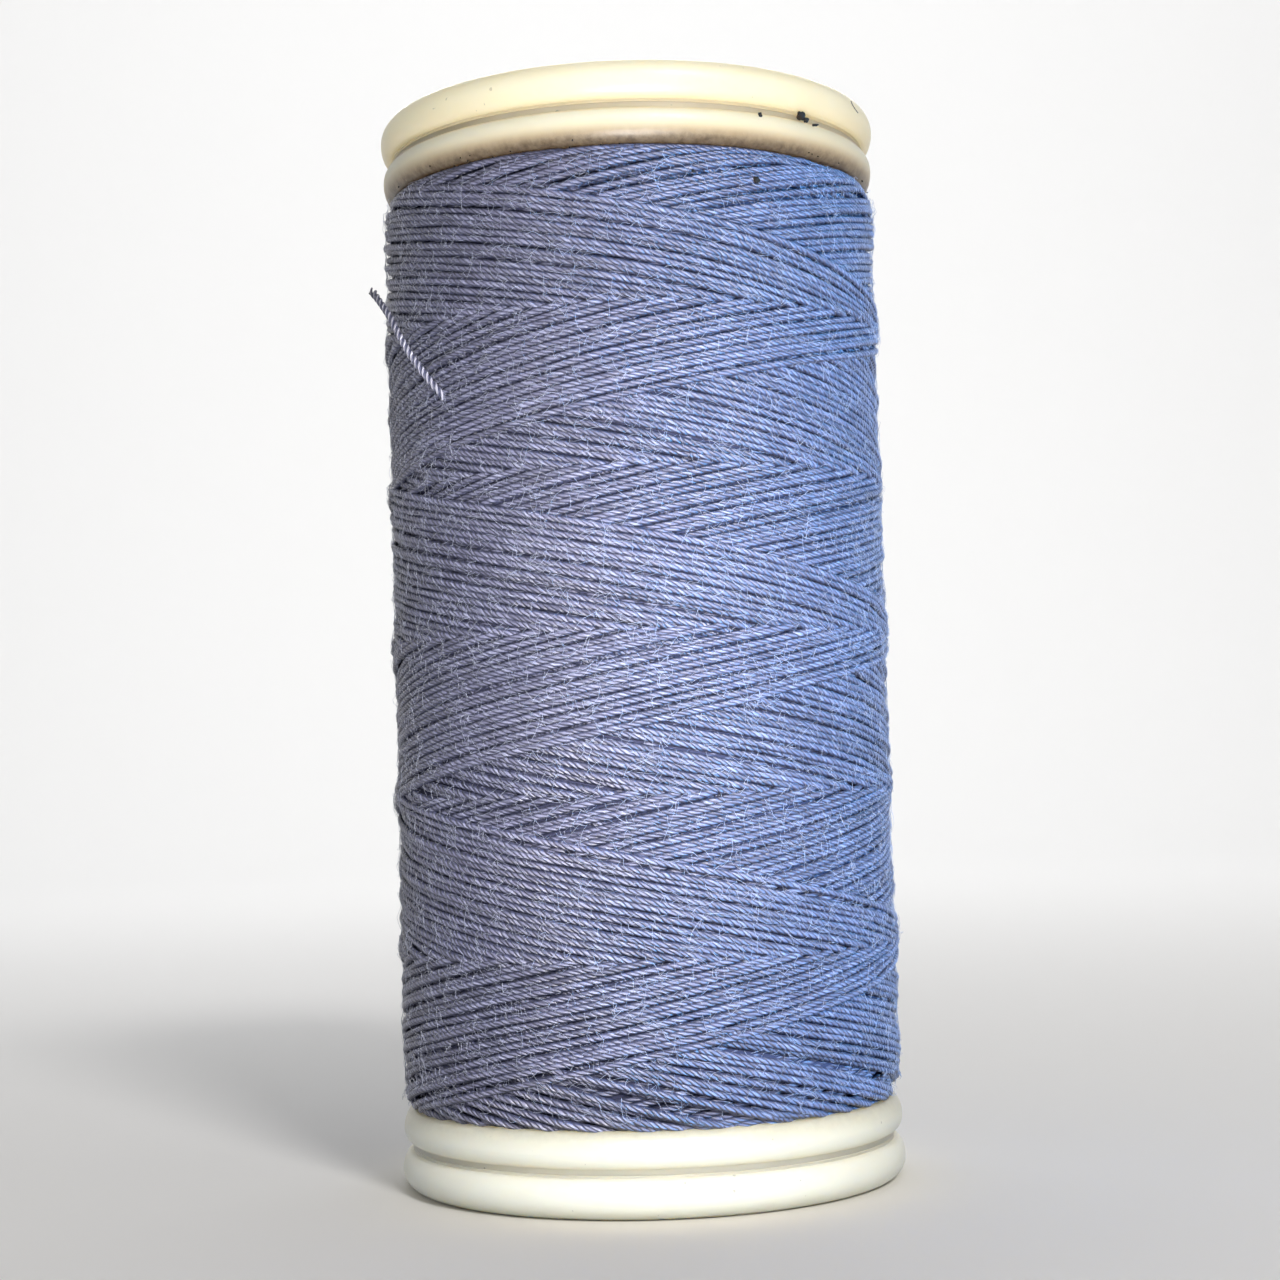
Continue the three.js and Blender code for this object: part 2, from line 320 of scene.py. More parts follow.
def keep_edges(piece, degrees=32):
    """Shades the piece smooth, but for edges that turn by more than this."""
    piece.data.set_sharp_from_angle(angle=math.radians(degrees))


# ---- Materials ------------------------------------------------------------------------
ivory = (0.87, 0.765, 0.55, 1)
warmer_ivory = (0.87, 0.74, 0.51, 1)
# lighter tone painted at the foot, standing in for light from the floor
lit_foot_ivory = (0.90, 0.855, 0.66, 1)
# painted warm shade for the valley between cap and flange
valley_shade_tan = (0.93, 0.72, 0.45, 1)
# tan and dark painted contact shade, with some dirt, by the thread
shaded_dirty_ivory = (0.52, 0.40, 0.27, 1)
shade_and_grime = (0.072, 0.047, 0.026, 1)
speck_brown = (0.30, 0.24, 0.16, 1)
dirt_brown = (0.012, 0.009, 0.007, 1)
lint_grey = (0.12, 0.11, 0.10, 1)
slate_blue = (0.163, 0.173, 0.278, 1)
# painted glint colour for the plies' crests
glint_blue = (0.31, 0.335, 0.475, 1)
greyed_blue = (0.145, 0.139, 0.226, 1)
# painted shade in the grooves between plies
groove_shade_blue = (0.048, 0.053, 0.102, 1)
# painted shade for the thread's flanks
flank_shade_navy = (0.034, 0.040, 0.086, 1)
# a darker copy of the thread's blue, painted shade, for the inner turns
shaded_inner_blue = (0.045, 0.05, 0.11, 1)
# paler copies of the thread's colours for its free end, painted lit
lit_tail_blue = (0.43, 0.44, 0.54, 1)
lit_tail_glint = (0.66, 0.68, 0.76, 1)
fibre_blue = (0.22, 0.25, 0.38, 1)
fibre_pale = (0.40, 0.44, 0.57, 1)
paper_white = (0.88, 0.88, 0.88, 1)
foot_to_head_heights = (0.010, 0.040)  # the painted tones go from their foot values to their head values between these, in metres
shade_and_dirt_radii = (0.0095, 0.0110)  # the painted shade and dirt by the thread lie outside these radii
valley_shade_start = 0.15  # the painted warm shade is full this far outside the flange's face, in millimetres
valley_shade_on_cap = 0.0013  # and fades out from there over this much of the cap, in metres
valley_shade_on_flange = (0.00048, 0.00038)  # and between these depths from there on the flange


class Recipe:
    """A material whose nodes are added one at a time, each with its sockets linked or set."""

    def __init__(self, name, **finish):
        self.material = bpy.data.materials.new(name)
        self.material.use_nodes = True
        self.tree = self.material.node_tree
        self.surface = self.tree.nodes["Principled BSDF"]
        for socket, value in finish.items():
            self.surface.inputs[socket.replace("_", " ")].default_value = value

    def add(self, kind, inputs=(), **options):
        node = self.tree.nodes.new("ShaderNode" + kind)
        for option, value in options.items():
            setattr(node, option, value)
        for socket, value in dict(inputs).items():
            if isinstance(value, bpy.types.NodeSocket):
                self.tree.links.new(value, node.inputs[socket])
            else:
                node.inputs[socket].default_value = value
        return node

    def maths(self, operation, *values):
        return self.add("Math", dict(enumerate(values)), operation=operation).outputs[0]

    def times(self, first, second):
        return self.maths("MULTIPLY", first, second)

    def mix(self, share, first, second, blend="MIX"):
        sockets = {0: share, 6: first, 7: second}
        return self.add("Mix", sockets, data_type="RGBA", blend_type=blend).outputs[2]

    def spread(self, value, low, high, to_low=0.0, to_high=1.0):
        """Goes smoothly from to_low to to_high as the value goes from low to high."""
        sockets = {0: value, 1: low, 2: high, 3: to_low, 4: to_high}
        return self.add("MapRange", sockets, interpolation_type="SMOOTHSTEP").outputs[0]

    def noise(self, vector, scale, detail=2.0, rough=0.5):
        sockets = {"Vector": vector, "Scale": scale, "Detail": detail, "Roughness": rough}
        return self.add("TexNoise", sockets).outputs[0]

    def place(self):
        """The place on the object, in metres."""
        return self.add("TexCoord").outputs["Object"]

    def to_surface(self, socket, value):
        self.tree.links.new(value, self.surface.inputs[socket])

    def shaded(self, tone, shade):
        """Puts a tone times a shade on the surface."""
        grey = self.add("CombineXYZ", {0: shade, 1: shade, 2: shade}).outputs[0]
        self.to_surface("Base Color", self.mix(1.0, tone, grey, "MULTIPLY"))

    def bump(self, height_, distance, strength=1.0):
        sockets = {"Height": height_, "Distance": distance, "Strength": strength}
        self.to_surface("Normal", self.add("Bump", sockets).outputs[0])


def cream_plastic():
    """Moulded ivory plastic: faintly translucent and warmer in patches. Painted warm shade lies in
    the valley between cap and flange, and painted contact shade with some dirt on the flange's
    outer part where the thread rubs it. It is painted lighter at the foot, for light from the
    floor, and its painted shade is weaker there than at the head."""
    recipe = Recipe(
        "ivory_plastic",
        Subsurface_Weight=0.85,
        Subsurface_Radius=(2.0, 1.6, 1.1),
        Subsurface_Scale=0.0035,
        IOR=1.48,
        Coat_Weight=0.05,
        Coat_Roughness=0.2,
    )
    place = recipe.place()
    x, y, z = recipe.add("SeparateXYZ", {0: place}).outputs
    across = recipe.add("CombineXYZ", {0: x, 1: y}).outputs[0]
    from_axis = recipe.add("VectorMath", {0: across}, operation="LENGTH").outputs["Value"]
    from_middle = recipe.maths("ABSOLUTE", recipe.maths("SUBTRACT", z, 0.5 * height * MM))
    slit = (0.5 * height - flange_face + valley_shade_start) * MM
    thread_edge = (0.5 * height - flange_inner_face) * MM
    outside = recipe.spread(from_axis, *shade_and_dirt_radii)

    def up_the_spool(at_foot=0.0, at_head=1.0):
        return recipe.spread(z, *foot_to_head_heights, at_foot, at_head)

    def by_the_thread(far, near, most, at_foot):
        """How much painted shade and dirt there is, from none at far beyond the thread's edge to
        most at near.
        """
        dirt = recipe.spread(from_middle, thread_edge + far, thread_edge + near, 0.0, most)
        return recipe.times(recipe.times(dirt, up_the_spool(at_foot)), outside)

    patches = recipe.spread(recipe.noise(place, 160.0, 3.0), 0.35, 0.7)
    tone = recipe.mix(patches, ivory, warmer_ivory)
    # Painted lighter tone towards the foot, standing in for light from the floor.
    tone = recipe.mix(up_the_spool(), lit_foot_ivory, tone)
    # Painted warm shade in the valley between cap and flange, weaker at the foot.
    valley_shade = recipe.times(
        recipe.spread(from_middle, slit + valley_shade_on_cap, slit),
        recipe.spread(from_middle, *(slit - depth for depth in valley_shade_on_flange)),
    )
    tone = recipe.mix(recipe.times(valley_shade, up_the_spool(0.25, 0.95)), tone, valley_shade_tan)
    # Painted contact shade with some dirt where the thread meets the flange: a wide tan band and a
    # close, patchy dark one.
    wide_shade_and_dirt = by_the_thread(far=0.0014, near=0.0006, most=0.75, at_foot=0.25)
    tone = recipe.mix(wide_shade_and_dirt, tone, shaded_dirty_ivory)
    shade_and_dirt_patches = recipe.spread(recipe.noise(place, 2200.0, 4.0, 0.7), 0.3, 0.7, 0.80, 1.0)
    close_shade_and_dirt = by_the_thread(far=0.0010, near=0.0002, most=0.97, at_foot=0.30)
    tone = recipe.mix(recipe.times(close_shade_and_dirt, shade_and_dirt_patches), tone, shade_and_grime)
    specks = recipe.spread(recipe.noise(place, 2600.0, 1.0), 0.76, 0.80)
    tone = recipe.mix(recipe.times(specks, 0.5), tone, speck_brown)
    recipe.to_surface("Base Color", tone)
    worn = recipe.noise(place, 420.0, 4.0, 0.65)
    recipe.to_surface("Roughness", recipe.spread(worn, 0.3, 0.75, 0.36, 0.46))
    recipe.bump(recipe.noise(place, 700.0, 3.0), 0.00003, 0.5)
    return recipe.material


def blue_thread(
    name="blue_thread",
    plies=3.0,
    relief=0.00008,
    flank_shade_most=0.92,
    body=slate_blue,
    glint_tone=glint_blue,
):
    """Spun thread: plies round each other in a right-handed twist, each a rope of fibres, with
    painted shade in the grooves between them and painted glints on their crests. Its map's u
    goes round its section and v along it, so that plies (u - v) counts the plies passed. The
    thread's flanks, which its neighbours hide, are painted darker than its outer side, as shade."""
    recipe = Recipe(
        name,
        Roughness=0.36,
        Specular_IOR_Level=0.8,
        Sheen_Weight=0.03,
        Sheen_Roughness=0.4,
        Sheen_Tint=(0.85, 0.9, 1.0, 1),
    )
    lay = recipe.add("SeparateXYZ", {0: recipe.add("UVMap", uv_map="lay").outputs[0]})
    round_ = lay.outputs[0]
    along = lay.outputs[1]
    place = recipe.place()
    waver = recipe.spread(recipe.noise(place, 1300.0, 2.0), 0.2, 0.8, -0.28, 0.28)
    twist = recipe.times(recipe.maths("SUBTRACT", round_, along), plies)
    twist = recipe.maths("ADD", twist, waver)
    crest = recipe.maths("ABSOLUTE", recipe.maths("SINE", recipe.times(twist, math.pi)))
    ply = recipe.maths("FLOOR", twist)
    ply_light = recipe.add("TexWhiteNoise", {"W": ply}, noise_dimensions="1D").outputs[0]
    shade = recipe.add("Attribute", attribute_name="shade").outputs["Fac"]
    fibre_place = {0: recipe.times(twist, 2.0), 1: along, 2: shade}
    fibres = recipe.noise(recipe.add("CombineXYZ", fibre_place).outputs[0], 1.5, 3.0, 0.65)
    patchy = recipe.noise(place, 1700.0, 2.0, 0.6)
    blotch = recipe.noise(place, 230.0, 3.0, 0.6)
    # Painted shade in the grooves between plies.
    depth = recipe.spread(crest, 0.62, 0.05)
    groove_shade = recipe.times(depth, recipe.spread(patchy, 0.3, 0.6, 0.45, 1.0))
    tone = recipe.mix(groove_shade, body, groove_shade_blue)
    # Painted glints on the plies' crests.
    glint = recipe.times(recipe.spread(fibres, 0.38, 0.66), recipe.spread(crest, 0.5, 0.95))
    glint = recipe.times(glint, recipe.spread(ply_light, 0.35, 1.0))
    tone = recipe.mix(glint, tone, glint_tone)
    tone = recipe.mix(recipe.spread(blotch, 0.3, 0.7, 0.0, 0.35), tone, greyed_blue)
    # Painted shade on the thread's flanks, where its neighbours hide them.
    outer = recipe.maths("COSINE", recipe.times(round_, TURN))
    flank_shade = recipe.spread(recipe.times(outer, -1.0), 0.94, 0.38, 0.0, flank_shade_most)
    tone = recipe.mix(flank_shade, tone, flank_shade_navy)
    # Painted brightness that differs from ply to ply, as each ply catches the light differently.
    own_light = recipe.spread(ply_light, 0.0, 1.0, 0.84, 1.16)
    recipe.shaded(tone, recipe.times(shade, own_light))
    recipe.bump(recipe.maths("ADD", crest, recipe.times(fibres, 0.7)), relief)
    return recipe.material


def fibre_material():
    """Single loose fibres, each with its own shade."""
    recipe = Recipe("stray_fibre", Roughness=0.55, Sheen_Weight=0.4)
    tone = recipe.mix(recipe.noise(recipe.place(), 500.0), fibre_blue, fibre_pale)
    recipe.shaded(tone, recipe.add("Attribute", attribute_name="shade").outputs["Fac"])
    return recipe.material


def plain_material(name, colour, roughness):
    """A matt finish in a colour, with darker patches."""
    recipe = Recipe(name, Roughness=roughness)
    place = recipe.place()
    patches = recipe.noise(place, 1500.0, 2.0)
    darker = tuple(0.6 * part for part in colour[:3]) + (1,)
    recipe.to_surface("Base Color", recipe.mix(patches, colour, darker))
    return recipe.material


# ---- Camera, stage and lights ---------------------------------------------------------
# The camera was fitted to the spool's outline in the photograph.
camera_place = np.array([0.0, -121.8, 20.6])
camera_pitch = 0.0548
camera_roll = -0.0282
camera_lens = 66.65
sensor = 36.0
photo_pixels = 1280
floor_radius = 400.0
floor_bend = 250.0  # radius of the curve from the floor up to the wall
wall_top = 900.0
stage_columns = 96
bend_rows = 24
middle = (0.0, 0.0, 0.03)  # what the lights are aimed at, in metres
world_light = 0.03
wall_lights = (("rear", 0.25, 1.5), ("left", 0.58, 0.22), ("right", 0.92, 0.3))  # turn, watts
wall_light_ring = 0.18
wall_light_height = 0.46
wall_light_size = 0.30
wall_beam = 150
wall_foot = 0.62  # how far out, and how high, the wall lights are aimed
wall_foot_height = 0.05
white = (1.0, 1.0, 1.0)
warm_white = (1.0, 0.97, 0.93)
warmer_white = (1.0, 0.955, 0.91)
clean_white = (1.0, 0.98, 0.96)
sky_blue = (0.04, 0.46, 1.0)


def camera_axes():
    """The camera's right, up and backward directions."""
    ahead = np.array([0.0, math.cos(camera_pitch), math.sin(camera_pitch)])
    right = np.array([1.0, 0.0, 0.0])
    up = np.cross(right, ahead)
    c, s = math.cos(camera_roll), math.sin(camera_roll)
    return right * c + up * s, up * c - right * s, -ahead


def seen_at(x, y, radius):
    """The near point of the cylinder of this radius that shows at a pixel of the photograph."""
    right, up, back = camera_axes()
    focal = camera_lens / sensor * photo_pixels
    half = photo_pixels / 2
    ray = right * (x - half) / focal - up * (y - half) / focal - back
    a = ray[0] ** 2 + ray[1] ** 2
    b = camera_place[0] * ray[0] + camera_place[1] * ray[1]
    c = camera_place[0] ** 2 + camera_place[1] ** 2 - radius**2
    return camera_place + ray * (-b - math.sqrt(b * b - a * c)) / a


def place_camera():
    right, up, back = camera_axes()
    data = bpy.data.cameras.new("camera")
    data.lens = camera_lens
    data.sensor_width = sensor
    data.clip_start = 0.01
    data.clip_end = 10.0
    camera = bpy.data.objects.new("camera", data)
    turn = Matrix((right, up, back)).transposed().to_4x4()
    camera.matrix_world = Matrix.Translation(Vector(camera_place * MM)) @ turn
    bpy.context.scene.collection.objects.link(camera)
    bpy.context.scene.camera = camera


def area_light(name, place, size, power, colour, target=middle, beam=180, spared=()):
    """A round soft light, in metres, watts and degrees. It doesn't light what is spared."""
    data = bpy.data.lights.new(name, "AREA")
    data.shape = "DISK"
    data.size = size
    data.energy = power
    data.color = colour
    data.spread = math.radians(beam)
    light = bpy.data.objects.new(name, data)
    light.location = place
    light.visible_camera = False
    light.rotation_euler = (Vector(target) - Vector(place)).to_track_quat("-Z", "Y").to_euler()
    bpy.context.scene.collection.objects.link(light)
    if spared:
        apart = bpy.data.collections.new(name + "_spares")
        for piece in spared:
            apart.objects.link(piece)
        for member in apart.collection_objects:
            member.light_linking.link_state = "EXCLUDE"
        light.light_linking.receiver_collection = apart


def set_the_stage():
    """A pale round floor that curves up into a wall all the way round. r and z run round a
    quarter circle from the floor's edge and then up."""
    bend = np.linspace(0, TURN / 4, bend_rows)
    r = np.append(floor_radius + floor_bend * np.sin(bend), floor_radius + floor_bend)
    z = np.append(floor_bend * (1 - np.cos(bend)), wall_top)
    angle = np.arange(stage_columns) * TURN / stage_columns
    points = round_axis(r[:, None], angle, z[:, None]).reshape(-1, 3)
    floor = np.arange(stage_columns)[None]
    sweep = to_mesh("sweep", points, ring_walls(len(r), stage_columns), floor)
    recipe = Recipe("white_paper", Roughness=0.9, Base_Color=paper_white)
    sweep.data.materials.append(recipe.material)
    world = bpy.data.worlds.new("soft_white")
    world.use_nodes = True
    background = world.node_tree.nodes["Background"]
    background.inputs["Color"].default_value = (*white, 1)
    background.inputs["Strength"].default_value = world_light
    bpy.context.scene.world = world
    bpy.context.scene.view_settings.view_transform = "Standard"
    return sweep


def light_the_stage(sweep, mouldings):
    """A key light from the upper right, a near light in front, a blue one at the right that
    is for the thread alone, one behind, and three that light the stage's wall."""
    thread_only = [sweep, *mouldings]
    area_light("key", (0.12, -0.28, 0.25), 0.08, 0.67, warm_white)
    area_light("front", (0.003, -0.046, 0.0245), 0.02, 0.031, warmer_white, spared=[sweep])
    area_light("fill_right", (0.21, -0.085, 0.055), 0.10, 0.86, sky_blue, spared=thread_only)
    area_light("back_fill", (0.0, 0.26, 0.16), 0.14, 0.42, clean_white, spared=[sweep])
    for name, turn, power in wall_lights:
        c, s = math.cos(TURN * turn), math.sin(TURN * turn)
        place = (wall_light_ring * c, wall_light_ring * s, wall_light_height)
        foot = (wall_foot * c, wall_foot * s, wall_foot_height)
        name = "wall_light_" + name
        area_light(name, place, wall_light_size, power, white, target=foot, beam=wall_beam)


# ---- Mouldings ------------------------------------------------------------------------
def sharp(radius, height_):
    return (radius, height_, soft_edge, soft_edge)


def cap_outline():
    """The bottom cap from its bore outwards: hub, sunk face, rim, web, sleeve and barbs."""
    half_rim = cap_rim / 2
    slit = cap_rim + pinch
    valley = slit - valley_cap
    return [
        sharp(bore_radius + bore_chamfer, 0),
        sharp(hub_radius, 0),
        sharp(hub_radius + cap_draft, cap_recess),
        sharp(rim_land_radius - cap_draft, cap_recess),
        (rim_land_radius, 0, soft_edge, soft_edge),
        (cap_radius, 0, cap_bead, half_rim),
        (cap_radius, valley, valley - half_rim, cap_radius - valley_radius - valley_edge),
        (valley_radius, valley, valley_edge, valley_edge),
        (valley_radius, slit, valley_edge, valley_edge),
        sharp(pinch_radius, slit),
        sharp(pinch_radius - cap_draft, cap_web_inner),
        (sleeve_radius, cap_web_inner, sleeve_fillet, sleeve_fillet),
        sharp(sleeve_radius, barb_shoulder),
        sharp(barb_radius, barb_shoulder),
        sharp(barb_radius, sleeve_tip - barb_lead_in),
        sharp(sleeve_radius - barb_inset, sleeve_tip),
        sharp(bore_radius, sleeve_tip),
        sharp(bore_radius, bore_chamfer),
    ]


def turned_over(corners):
    """The same corners at the spool's other end, in the order that carries on round."""
    return [(r, height - z, after, before) for r, z, before, after in reversed(corners)]


def body_outline():
    """The barrel and its flanges: mouth, pocket, flange rim and fillet of each end, then the
    bore with the grooves that hold the barbs."""
    slit = flange_face - pinch
    valley = slit + valley_flange
    crest_in = flange_inner_face - valley - flange_crest - least_straight
    outside = [
        sharp(barrel_bore + barrel_lead_in, flange_face),
        sharp(barrel_radius, flange_face),
        sharp(barrel_radius, flange_face + pocket_depth),
        sharp(pinch_radius, flange_face + pocket_depth),
        sharp(pinch_radius, slit),
        (valley_radius, slit, valley_edge, valley_edge),
        (valley_radius, valley, valley_edge, valley_edge),
        (flange_radius, valley, flange_radius - valley_radius - valley_edge, flange_crest),
        (flange_radius, flange_inner_face, crest_in, flange_bead),
        (barrel_radius, flange_inner_face, barrel_fillet, barrel_fillet),
    ]
    bore = [
        sharp(barrel_bore, groove_end + barb_height),
        sharp(groove_radius, groove_end),
        sharp(groove_radius, groove_start),
        sharp(barrel_bore, groove_start),
        sharp(barrel_bore, flange_face + barrel_lead_in),
    ]
    return outside + turned_over(outside) + turned_over(bore) + bore


def slot_cutter(angle):
    """A bar across the sleeve, which parts it into fingers."""
    start = cap_web_inner + slot_root
    size = np.array([4 * barb_radius, slot_width, 2 * (sleeve_tip - start)])
    corners = np.array([[x, y, z] for z in (0, 1) for y in (-0.5, 0.5) for x in (-0.5, 0.5)])
    points = corners * size + [0, 0, start]
    c, s = math.cos(angle), math.sin(angle)
    points = points @ np.array([[c, s, 0], [-s, c, 0], [0, 0, 1]])
    faces = [[0, 2, 3, 1], [4, 5, 7, 6], [0, 1, 5, 4], [2, 6, 7, 3], [0, 4, 6, 2], [1, 3, 7, 5]]
    return to_mesh("cutter", points, faces)


def make_cap(name, top):
    cap = revolve(name, outline(cap_outline()))
    for i in range(slot_cuts):
        cut(cap, slot_cutter(math.pi / slot_cuts * (i + 0.5)))
    if top:
        turn = Matrix.Translation((0, 0, height * MM)) @ Matrix.Rotation(math.pi, 4, "X")
        cap.data.transform(turn)
    keep_edges(cap)
    return cap


def make_mouldings():
    plastic = cream_plastic()
    body = revolve("barrel_and_flanges", outline(body_outline()))
    keep_edges(body)
    pieces = [
        (body, "spool", "spool_body"),
        (make_cap("snap_cap_bottom", False), "bottom_cap", "bottom_cap"),
        (make_cap("snap_cap_top", True), "top_cap", "top_cap"),
    ]
    for piece, rides_on, node in pieces:
        piece.data.materials.clear()
        piece.data.materials.append(plastic)
        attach(piece, rides_on)
        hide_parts(node)
    return [piece for piece, rides_on, node in pieces]


# ---- Winding --------------------------------------------------------------------------
fibre_rings = 5
fibre_sides = 3
fibre_radius = 0.011
fibre_taper = 0.6  # how much thinner a loose fibre is at its far end
fibre_curl = 0.22
fibre_start_gap = 0.5  # how far from the flanges loose fibres start
fibre_gap = 0.3  # and stay
fibre_depth = 0.15  # how far they may sink below the package's edge
fibre_shades = (0.7, 1.5)
# Each kind's name, how many there are, their shortest and longest, how far they bow out, and
# how far their headings spread.
fibre_kinds = [
    ("fine_fuzz", 7600, 0.3, 1.0, 0.015, 0.7),
    ("stray_fibres", 6000, 0.5, 1.7, 0.03, 0.9),
    ("soft_fuzz", 7000, 0.25, 0.8, 0.02, 1.3),
]


def package_edge(z):
    """The package's radius at a height: full, and rounding off towards each flange."""
    from_end = np.minimum(z - flange_inner_face, height - flange_inner_face - z)
    share = np.clip(1 - from_end / shoulder_length, 0, 1)
    return package_radius - shoulder_depth * (1 - np.sqrt(1 - share**2))


def wander(count, reach):
    """Smooth noise of about unit spread, whose values go together over reach samples."""
    knots = rng.normal(size=count // reach + 4)
    x = np.arange(count) / reach
    i = x.astype(int)
    t = x - i
    t = t * t * (3 - 2 * t)
    return knots[i] * (1 - t) + knots[i + 1] * t


def thread_heights(turns):
    """The thread's height after a number of turns: a triangle wave between the flanges, with
    each turning point rounded as a hyperbola, z = end +- lead sqrt(u^2 + w^2), for u turns
    from it. It drifts a little, and the lowest turns sag by a bell curve of their height."""
    phase = (turns - newest_start) / turns_per_trip
    nearest = np.round(phase).astype(int)
    from_turn = (phase - nearest) * turns_per_trip
    index = nearest - nearest.min()
    roundness = rng.uniform(*turning_round, index.max() + 1)[index]
    shift = rng.normal(0, turning_scatter, index.max() + 1)[index]
    climb = lead * np.sqrt(from_turn**2 + roundness**2)
    at_bottom = nearest % 2 == 0
    z = np.where(at_bottom, trip_low + climb, trip_high - climb)
    z = z + shift * np.exp(-((from_turn / turning_reach) ** 2))
    for far, reach in drifts:
        z = z + far * wander(len(turns), reach)
    z = z - low_sag * np.exp(-(((z - trip_low) / sag_reach) ** 2))
    return np.clip(z, lowest_turn, highest_turn)


def slide_max(values, reach):
    """The largest value within reach samples on either side."""
    shifted = [np.roll(values, i) for i in range(-reach, reach + 1)]
    return np.max(shifted, axis=0)


def smooth(values, reach):
    """Values blurred by a Gaussian of this many samples, with the ends held."""
    x = np.arange(-3 * reach, 3 * reach + 1)
    kernel = np.exp(-0.5 * (x / reach) ** 2)
    return np.convolve(np.pad(values, 3 * reach, mode="edge"), kernel / kernel.sum(), "valid")


def pressed(above):
    """Heights above the package's radius, pressed in, and the proud ones further."""
    return np.where(above > 0, proud_share, low_share) * above


def lay_thread():
    """Winds the thread on to a map of the package's height, one trip at a time, and returns
    its route and the map as radii. On each trip it rests on what lies under it, spans the
    hollows, and raises the map under itself by half_height sqrt(1 - (d / half_width)^2) at a
    distance d. The map starts as layers, each a little lower the longer ago it was laid."""
    first = newest_start - (trip_count - 2) * turns_per_trip
    count = int(trip_count * turns_per_trip * turn_columns)
    turns = first + np.arange(count) / turn_columns
    z = thread_heights(turns)
    rows = int((height - 2 * flange_inner_face) / row_height) + 2 * spare_rows
    columns = np.round(turns * turn_columns).astype(int) % turn_columns
    grid_turn = np.arange(turn_columns)[:, None] / turn_columns
    grid_z = flange_inner_face + (np.arange(rows)[None, :] - spare_rows) * row_height
    age_up = (grid_z - lead * grid_turn - newest_up) / lead % 1.0
    newest_down = 2 * trip_high - newest_up
    age_down = (newest_down - grid_z - lead * grid_turn) / lead % 1.0
    surface = layer_rise * (2 - age_up - age_down) + package_edge(grid_z) - package_radius
    centre = np.zeros(count)
    nothing = -9.0  # lower than any thread
    under = np.arange(-bearing_rows, bearing_rows + 1)
    over = np.arange(-raised_rows, raised_rows + 1)
    trip = int(turns_per_trip * turn_columns)
    for start in range(0, count, trip):
        part = slice(start, min(start + trip, count))
        column = columns[part][:, None]
        row = np.round((z[part] - grid_z[0, 0]) / row_height).astype(int)[:, None]
        off = (row + under) * row_height + grid_z[0, 0] - z[part][:, None]
        bear = half_height * np.sqrt(np.clip(1 - (off / contact_width) ** 2, 0, 1))
        on = np.where(np.abs(off) < contact_width, surface[column, row + under] + bear, nothing)
        rest = smooth(slide_max(on.max(1), carry_reach), bend_reach) - sink
        rest = np.minimum(rest, package_edge(z[part]) - package_radius + most_rise)
        centre[part] = rest
        off = (row + over) * row_height + grid_z[0, 0] - z[part][:, None]
        bulge = half_height * np.sqrt(np.clip(1 - (off / half_width) ** 2, 0, 1))
        raised = np.where(np.abs(off) < half_width, rest[:, None] + bulge, nothing)
        surface[column, row + over] = np.maximum(surface[column, row + over], raised)
    step = int(round(ring_step / (TURN * package_radius) * turn_columns))
    keep = np.arange(0, count, step)
    crest = np.percentile(surface[:, flange_rows:-flange_rows], crest_percent)
    radius = package_radius - half_height + pressed(centre[keep] + half_height - crest)
    radius = np.minimum(radius, package_edge(z[keep]) - half_height + edge_play)
    angle = TURN * turns[keep]
    return round_axis(radius, angle, z[keep]), package_radius + pressed(surface - crest)


def make_winding():
    """The thread's outer turns, in a few pieces end to end. Returns the package's radii."""
    route, surface = lay_thread()
    length = lengths_along(route)
    outward = route * [1, 1, 0]
    rings = len(route)
    trip = np.arange(rings) * trip_count // rings
    shade = 1.0 + trip_tint * rng.normal(size=trip_count)[trip]
    shade = shade + patch_tint * wander(rings, patch_reach)
    bulk = 1.0 + slub * wander(rings, slub_reach)
    thread = blue_thread()
    spans = np.linspace(0, rings - 1, winding_pieces + 1).astype(int)
    for i in range(winding_pieces):
        part = slice(spans[i], spans[i + 1] + 1)
        piece = tube(
            f"wound_thread_{i + 1}",
            route[part],
            outward[part],
            half_height * bulk[part],
            half_width * bulk[part],
            thread_sides,
            length[part] / ply_lay,
            shade[part],
        )
        piece.data.materials.append(thread)
        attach(piece, "spool")
        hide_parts("thread_winding")
    return surface


def make_core():
    """The inner turns, as a plain ring under the ones that show, in a darker blue that is painted
    shade.
    """
    inner = barrel_radius + core_gap
    low = flange_inner_face + core_end_gap
    edge = package_radius - core_depth
    corners = [
        (inner, low, core_corner, core_corner),
        (edge - shoulder_depth, low, core_rim, core_rim),
        (edge, low + shoulder_length, core_shoulder, core_shoulder),
        (edge, height - low - shoulder_length, core_shoulder, core_shoulder),
        (edge - shoulder_depth, height - low, core_rim, core_rim),
        (inner, height - low, core_corner, core_corner),
    ]
    core = revolve("inner_turns", outline(corners))
    core.data.materials.append(plain_material("shaded_inner_thread", shaded_inner_blue, 0.9))
    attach(core, "spool")
    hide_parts("thread_package")


